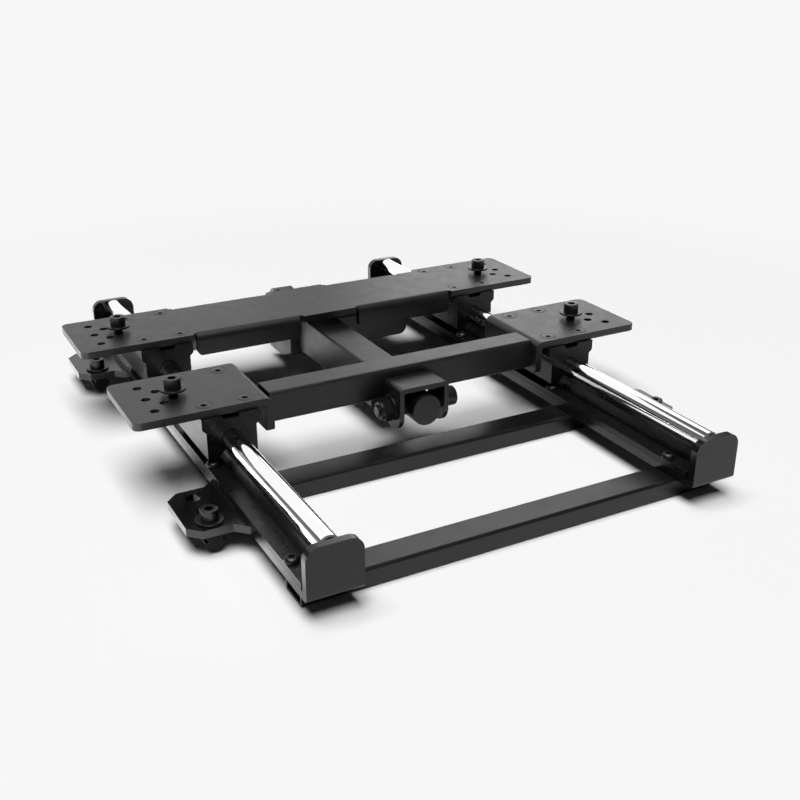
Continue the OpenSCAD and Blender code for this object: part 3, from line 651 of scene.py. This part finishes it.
def grid(xs: tuple[float, ...], ys: tuple[float, ...], z: float) -> np.ndarray:
    """All pairs of X and Y at one height, one point per row."""
    x, y = np.meshgrid(np.array(xs, float), np.array(ys, float), indexing="ij")
    return np.stack([x.ravel(), y.ravel(), np.full(x.size, z)], axis=-1)


@dataclass
class SubAssembly:
    """Pieces of one body that are softened, dressed or made new, with a list of their names."""

    body: Body
    made: list[str] = field(default_factory=list)

    def build(self) -> None:
        """Makes and dresses the pieces."""
        raise NotImplementedError

    def keep(self, node: str, finish: Finish) -> None:
        """Gives a CAD node that stays a finer material in its own slots.

        Args:
            node: the CAD node.
            finish: its surface.
        """
        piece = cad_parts[node]
        for slot in piece.material_slots:
            slot.material = finish.material()
        self.made.append(node)

    def soften(self, node: str, finish: Finish, width: float, segments: int = 3, limit: float = 28.0) -> None:
        """Replaces a CAD node by a copy whose sharp edges are broken.

        Args:
            node: the CAD node.
            finish: its surface.
            width: width of the broken edge in metres.
            segments: steps across the broken edge.
            limit: smallest angle in degrees between two faces whose edge is broken.
        """
        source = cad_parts[node]
        mesh = source.data.copy()
        mesh.transform(source.matrix_world)
        clean = bmesh.new()
        clean.from_mesh(mesh)
        bmesh.ops.remove_doubles(clean, verts=clean.verts, dist=CAD_WELD)
        bmesh.ops.dissolve_limit(clean, angle_limit=FLAT_ANGLE, verts=clean.verts, edges=clean.edges)
        clean.to_mesh(mesh)
        clean.free()
        mesh.materials.clear()
        piece = self.place(f"{node}_broken_edges", mesh, finish, node)
        mesh.set_sharp_from_angle(angle=math.radians(limit))
        bevel = piece.modifiers.new("broken_edges", "BEVEL")
        bevel.limit_method = "ANGLE"
        bevel.angle_limit = math.radians(limit)
        bevel.width = width
        bevel.segments = segments
        bevel.use_clamp_overlap = True
        flat = piece.modifiers.new("flat_faces", "WEIGHTED_NORMAL")
        flat.mode = "FACE_AREA"
        flat.weight = FACE_WEIGHT
        flat.keep_sharp = True

    def turn(self, node: str, form: Turned, places: np.ndarray, basis: np.ndarray, finish: Finish) -> None:
        """Replaces a CAD node's screws, washers or nuts by turned ones.

        Args:
            node: the CAD node.
            form: the turned form.
            places: where each copy's seat is, in millimetres.
            basis: local axes of the copies.
            finish: their surface.
        """
        mesh = Lathe.mesh(form, places * MM, basis)
        self.place(f"{node}_turned", mesh, finish, node)
        mesh.set_sharp_from_angle(angle=math.radians(form.crease))

    def place(self, name: str, mesh: bpy.types.Mesh, finish: Finish, *nodes: str) -> bpy.types.Object:
        """Puts a new piece in the scene.

        Args:
            name: its name.
            mesh: its mesh in the frame's axes.
            finish: its surface.
            nodes: the CAD nodes that it stands for.

        Returns:
            The new object.
        """
        mesh.name = name
        piece = bpy.data.objects.new(name, mesh)
        bpy.context.scene.collection.objects.link(piece)
        mesh.materials.append(finish.material())
        mesh.polygons.foreach_set("use_smooth", np.ones(len(mesh.polygons), dtype=bool))
        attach(piece, self.body.value)
        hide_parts(*nodes)
        self.made.append(name)
        return piece


@dataclass
class RailBase(SubAssembly):
    """The still base: trays, cross tubes, supports, shafts and their screws."""

    sheet_edge: float = 0.4 * MM
    tube_edge: float = 0.3 * MM
    support_edge: float = 0.5 * MM
    slot_nut_edge: float = 0.35 * MM
    rail_screw_x: tuple[float, ...] = (-169.0, -139.0, 139.0, 169.0)
    rail_screw_y: tuple[float, ...] = (-231.0, -81.0, 69.0, 219.0)
    rail_screw_z: float = 26.0
    ear_x: tuple[float, ...] = (-195.5, 195.5)
    ear_y: tuple[float, ...] = (-149.5, 165.0)
    ear_top: float = 21.0
    washer: RoundWasher = RoundWasher(20.0 * MM, 8.4 * MM, 1.6 * MM)
    ear_screw: CapScrew = CapScrew(8.0 * MM, 13.0 * MM, 8.0 * MM, 20.1 * MM, 1.25 * MM)
    rail_screw: ButtonScrew = ButtonScrew(6.0 * MM, 10.8 * MM, 3.72 * MM, 11.0 * MM)

    def build(self) -> None:
        """Softens sheet and extrusions, dresses the shafts and turns the screws."""
        for side in ("left", "right"):
            self.soften(f"{side}_rail_tray", BASE_COAT, self.sheet_edge)
            self.soften(f"{side}_rail_support", ANODISED, self.support_edge)
            self.keep(f"{side}_shaft", GROUND)
        for row in ("front", "middle", "rear"):
            self.soften(f"{row}_cross_tube", TUBE, self.tube_edge)
        self.soften("tee_nuts", DULL, self.slot_nut_edge)
        self.keep("shaft_screws", OXIDE)
        heads = grid(self.rail_screw_x, self.rail_screw_y, self.rail_screw_z)
        self.turn("rail_screws", self.rail_screw, heads, UPRIGHT, OXIDE)
        self.turn("ear_washers", self.washer, grid(self.ear_x, self.ear_y, self.ear_top), UPRIGHT, OXIDE)
        seats = grid(self.ear_x, self.ear_y, self.ear_top + self.washer.thickness / MM)
        self.turn("ear_screws", self.ear_screw, seats, UPRIGHT, OXIDE)


@dataclass
class ActuatorBody(SubAssembly):
    """The screw actuator's still half with its rear anchor."""

    profile_edge: float = 0.35 * MM
    cap_edge: float = 0.5 * MM
    housing_edge: float = 1.0 * MM
    bracket_edge: float = 0.4 * MM
    pin: tuple[float, float] = (204.8, 44.5)
    head_x: float = 16.75
    nut_x: float = -3.75
    bolt: CapScrew = CapScrew(10.0 * MM, 16.0 * MM, 10.0 * MM, 32.5 * MM, 1.5 * MM)
    nut: LockNut = LockNut(17.0 * MM, 10.0 * MM, 10.1 * MM)

    def build(self) -> None:
        """Softens the housings and the bracket and turns the rear pin."""
        self.soften("actuator_profile", PROFILE, self.profile_edge)
        self.soften("actuator_cap", PLASTIC, self.cap_edge)
        self.soften("gear_housing", PLASTIC, self.housing_edge)
        self.soften("motor_housing", PLASTIC, self.housing_edge)
        self.soften("anchor_bracket", COAT, self.bracket_edge)
        self.turn("anchor_bolt", self.bolt, np.array([[self.head_x, *self.pin]]), HEAD_RIGHT, OXIDE)
        self.turn("anchor_nut", self.nut, np.array([[self.nut_x, *self.pin]]), HEAD_LEFT, OXIDE)


@dataclass
class Carriage(SubAssembly):
    """The sliding carriage: plates, tube, clevis, blocks, rod and screws."""

    sheet_edge: float = 0.4 * MM
    tube_edge: float = 0.3 * MM
    block_edge: float = 0.5 * MM
    rod_end_edge: float = 0.6 * MM
    plate_top: float = 72.0
    rail_x: tuple[float, ...] = (-154.0, 154.0)
    plate_y: tuple[float, ...] = (-43.0, 114.0)
    block_step: tuple[float, float] = (16.0, 30.0)
    seat_x: tuple[float, ...] = (-183.7, 183.7)
    washer_lift: float = 4.0
    pin: tuple[float, float] = (-88.5, 44.5)
    cheek: float = 22.0
    washer: RoundWasher = RoundWasher(20.0 * MM, 8.4 * MM, 1.6 * MM)
    seat_screw: CapScrew = CapScrew(8.0 * MM, 13.0 * MM, 8.0 * MM, 23.6 * MM, 1.25 * MM)
    block_screw: FlatScrew = FlatScrew(6.0 * MM, 13.4 * MM, 16.0 * MM)
    pin_washer: RoundWasher = RoundWasher(20.0 * MM, 10.4 * MM, 2.0 * MM)
    bolt: CapScrew = CapScrew(10.0 * MM, 16.0 * MM, 10.0 * MM, 60.0 * MM, 1.5 * MM)
    nut: LockNut = LockNut(17.0 * MM, 10.0 * MM, 10.1 * MM)

    def build(self) -> None:
        """Softens plates and blocks, dresses the rest and turns the screws."""
        for node in ("rear_plate", "left_front_bracket", "right_front_bracket", "front_clevis"):
            self.soften(node, COAT, self.sheet_edge)
        self.soften("front_carriage_tube", COAT, self.tube_edge)
        for node in ("front_left_block", "front_right_block", "rear_left_block", "rear_right_block"):
            self.soften(node, ANODISED, self.block_edge)
        self.soften("rod_end", OXIDE, self.rod_end_edge)
        self.keep("ball_bushings", BUSHING)
        self.keep("block_seals", RUBBER)
        self.keep("clevis_spacers", OXIDE)
        self.keep("actuator_rod", SHADE_DARKENED_ROD)
        self.turn_plate_screws()
        self.turn_pin()

    def turn_plate_screws(self) -> None:
        """Turns the block screws, the seat screws and their washers."""
        across, along = self.block_step
        xs = tuple(x + s * across for x in self.rail_x for s in (-1.0, 1.0))
        ys = tuple(y + s * along for y in self.plate_y for s in (-1.0, 1.0))
        self.turn("block_screws", self.block_screw, grid(xs, ys, self.plate_top), UPRIGHT, FLUSH)
        lift = self.plate_top + self.washer_lift
        self.turn("seat_washers", self.washer, grid(self.seat_x, self.plate_y, lift), UPRIGHT, OXIDE)
        seats = grid(self.seat_x, self.plate_y, lift + self.washer.thickness / MM)
        self.turn("seat_screws", self.seat_screw, seats, UPRIGHT, OXIDE)

    def turn_pin(self) -> None:
        """Turns the clevis bolt, its nut and its two washers."""
        seat = self.cheek + self.pin_washer.thickness / MM
        rings = np.array([[-seat, *self.pin], [self.cheek, *self.pin]])
        self.turn("clevis_washers", self.pin_washer, rings, HEAD_RIGHT, OXIDE)
        self.turn("clevis_bolt", self.bolt, np.array([[seat, *self.pin]]), HEAD_RIGHT, OXIDE)
        self.turn("clevis_nut", self.nut, np.array([[-seat, *self.pin]]), HEAD_LEFT, OXIDE)


@dataclass(frozen=True)
class SoftBox:
    """A rectangular soft light that looks at a point; one that isn't matt is only seen in reflections."""

    name: str
    place: Triple
    target: Triple
    width: float
    height: float
    watts: float
    matt: bool = True

    def add(self) -> None:
        """Puts the light in the scene."""
        data = bpy.data.lights.new(self.name, "AREA")
        data.shape = "RECTANGLE"
        data.size = self.width
        data.size_y = self.height
        data.energy = self.watts
        lamp = bpy.data.objects.new(self.name, data)
        lamp.location = self.place
        heading = Vector(self.target) - Vector(self.place)
        lamp.rotation_euler = heading.to_track_quat("-Z", "Y").to_euler()
        lamp.visible_diffuse = self.matt
        bpy.context.scene.collection.objects.link(lamp)


MIDDLE = (0.0, 0.0, 0.0)
KEY_SKY = SoftBox("key_sky", (-4.0, -3.5, 20.0), (-4.0, -3.5, 0.0), 13.0, 20.0, 5390.0)
RIGHT_BOX = SoftBox("right_softbox", (1.66, 2.11, 1.34), MIDDLE, 1.25, 2.6, 17.5, matt=False)
BACK_BOX = SoftBox("back_softbox", (-0.3, 2.64, 1.39), MIDDLE, 3.0, 2.5, 20.5, matt=False)


@dataclass
class Studio:
    """Camera, surround, pale floor, one wide overhead light and two soft boxes behind the slide.

    The floor takes light and shadow up to near and is plain paper from far on. In reflections its colour is
    painted brighter by painted_light_gain behind a slanting line, as painted light for a bright card that is
    not there: where painted_light_slant times the place passes from painted_light_start to painted_light_full.
    """

    lens: float = 47.945
    sensor: float = 36.0
    clip_near: float = 0.01
    clip_far: float = 50.0
    eye: Triple = (-0.381016, -0.770310, 0.390297)
    look: Triple = (0.43312, 0.80641, -0.40262)
    paper: float = 0.922
    floor_albedo: float = 0.9
    floor_half: float = 6.0
    floor_drop: float = 0.0002
    near: float = 0.55
    far: float = 0.85
    # Painted light in the floor's reflections: the slanting line, and how much brighter the floor's colour is
    # painted behind it.
    painted_light_slant: Triple = (-1.9, 1.0, 0.0)
    painted_light_start: float = 0.13
    painted_light_full: float = 0.17
    painted_light_gain: float = 2.2
    fill: float = 0.01
    wall: float = 0.3
    wall_end: float = 0.0
    ceiling: float = 0.12
    ceiling_start: float = 0.3
    lamps: tuple[SoftBox, ...] = (KEY_SKY, RIGHT_BOX, BACK_BOX)

    def build(self) -> None:
        """Sets the stage, the light and the camera."""
        bpy.context.scene.view_settings.view_transform = "Standard"
        self.camera()
        self.world()
        self.floor()
        for lamp in self.lamps:
            lamp.add()

    def camera(self) -> None:
        """Places the camera that the photograph was solved for."""
        data = bpy.data.cameras.new("camera")
        data.lens = self.lens
        data.sensor_width = self.sensor
        data.sensor_fit = "HORIZONTAL"
        data.clip_start = self.clip_near
        data.clip_end = self.clip_far
        eye = bpy.data.objects.new("camera", data)
        eye.location = self.eye
        eye.rotation_euler = Vector(self.look).to_track_quat("-Z", "Y").to_euler()
        bpy.context.scene.collection.objects.link(eye)
        bpy.context.scene.camera = eye

    def world(self) -> None:
        """Makes the surround: paper for the camera, a faint fill for matt surfaces.

        Reflections see paper below the horizon, and above it a grey wall that turns into a darker ceiling.
        """
        world = bpy.data.worlds.new("studio")
        bpy.context.scene.world = world
        world.use_nodes = True
        graph = Graph(world.node_tree)
        path = graph.add("ShaderNodeLightPath").outputs
        clear = graph.add("ShaderNodeMath", {"operation": "MAXIMUM"},
                          (path["Is Glossy Ray"], path["Is Transmission Ray"]))
        seen = graph.add("ShaderNodeMath", {"operation": "MAXIMUM"},
                         (path["Is Camera Ray"], clear.outputs[0]))
        heading = graph.add("ShaderNodeTexCoord").outputs["Generated"]
        height = graph.add("ShaderNodeSeparateXYZ", Vector=heading).outputs["Z"]
        below = graph.add("ShaderNodeMath", {"operation": "LESS_THAN"}, (height, 0.0))
        above = graph.add("ShaderNodeMapRange", {"interpolation_type": "SMOOTHSTEP"}, Value=height,
                          From_Min=self.wall_end, From_Max=self.ceiling_start, To_Min=self.wall,
                          To_Max=self.ceiling)
        level = graph.blend(below.outputs[0], above.outputs["Result"], self.paper)
        backdrop = graph.blend(path["Is Camera Ray"], level, self.paper)
        fill = graph.add("ShaderNodeBackground", Color=WHITE, Strength=self.fill)
        pale = graph.add("ShaderNodeBackground", Color=WHITE, Strength=backdrop)
        mix = graph.add("ShaderNodeMixShader", plain=(seen.outputs[0], fill.outputs[0], pale.outputs[0]))
        graph.add("ShaderNodeOutputWorld", Surface=mix.outputs[0])

    def floor_material(self) -> bpy.types.Material:
        """Makes the floor's surface.

        Returns:
            The material.
        """
        material = bpy.data.materials.new("pale_floor")
        material.use_nodes = True
        graph = Graph(material.node_tree)
        place = graph.add("ShaderNodeTexCoord").outputs["Object"]
        apart = graph.add("ShaderNodeVectorMath", {"operation": "LENGTH"}, (place,))
        reach = graph.add("ShaderNodeMapRange", {"interpolation_type": "SMOOTHSTEP"},
                          Value=apart.outputs["Value"], From_Min=self.near, From_Max=self.far)
        # Painted light: for reflection rays, the floor's colour and the paper's glow are raised left of and
        # behind a slanting line. This is a painted reflection of a bright card that does not lie there.
        across = graph.add("ShaderNodeVectorMath", {"operation": "DOT_PRODUCT"}, (place, self.painted_light_slant))
        behind = graph.add("ShaderNodeMapRange", Value=across.outputs["Value"], From_Min=self.painted_light_start,
                           From_Max=self.painted_light_full, To_Min=1.0, To_Max=self.painted_light_gain)
        path = graph.add("ShaderNodeLightPath").outputs
        gain = graph.blend(path["Is Glossy Ray"], 1.0, behind.outputs["Result"])
        tone = graph.add("ShaderNodeMath", {"operation": "MULTIPLY"}, (gain, self.floor_albedo))
        lit = graph.add("ShaderNodeBsdfDiffuse", Color=tone.outputs[0])
        paper = graph.add("ShaderNodeEmission", Color=(self.paper, self.paper, self.paper, 1.0),
                          Strength=gain)
        mix = graph.add("ShaderNodeMixShader",
                        plain=(reach.outputs["Result"], lit.outputs[0], paper.outputs[0]))
        graph.add("ShaderNodeOutputMaterial", Surface=mix.outputs[0])
        return material

    def floor(self) -> None:
        """Lays the floor just under the slide."""
        half = self.floor_half
        corners = [(-half, -half), (half, -half), (half, half), (-half, half)]
        mesh = bpy.data.meshes.new("floor")
        mesh.from_pydata([(x, y, -self.floor_drop) for x, y in corners], [], [(0, 1, 2, 3)])
        mesh.materials.append(self.floor_material())
        piece = bpy.data.objects.new("floor", mesh)
        bpy.context.scene.collection.objects.link(piece)


def main() -> None:
    """Builds the slide's sub-assemblies and the studio round them, and reports each piece."""
    logging.basicConfig(level=logging.INFO, format="%(name)s: %(message)s")
    for assembly in (RailBase(Body.BASE), ActuatorBody(Body.BASE), Carriage(Body.CARRIAGE)):
        assembly.build()
        for piece in assembly.made:
            LOG.info("%s on the %s", piece, assembly.body.value)
    Studio().build()
    bpy.context.view_layer.update()


if __name__ == "__main__":
    main()
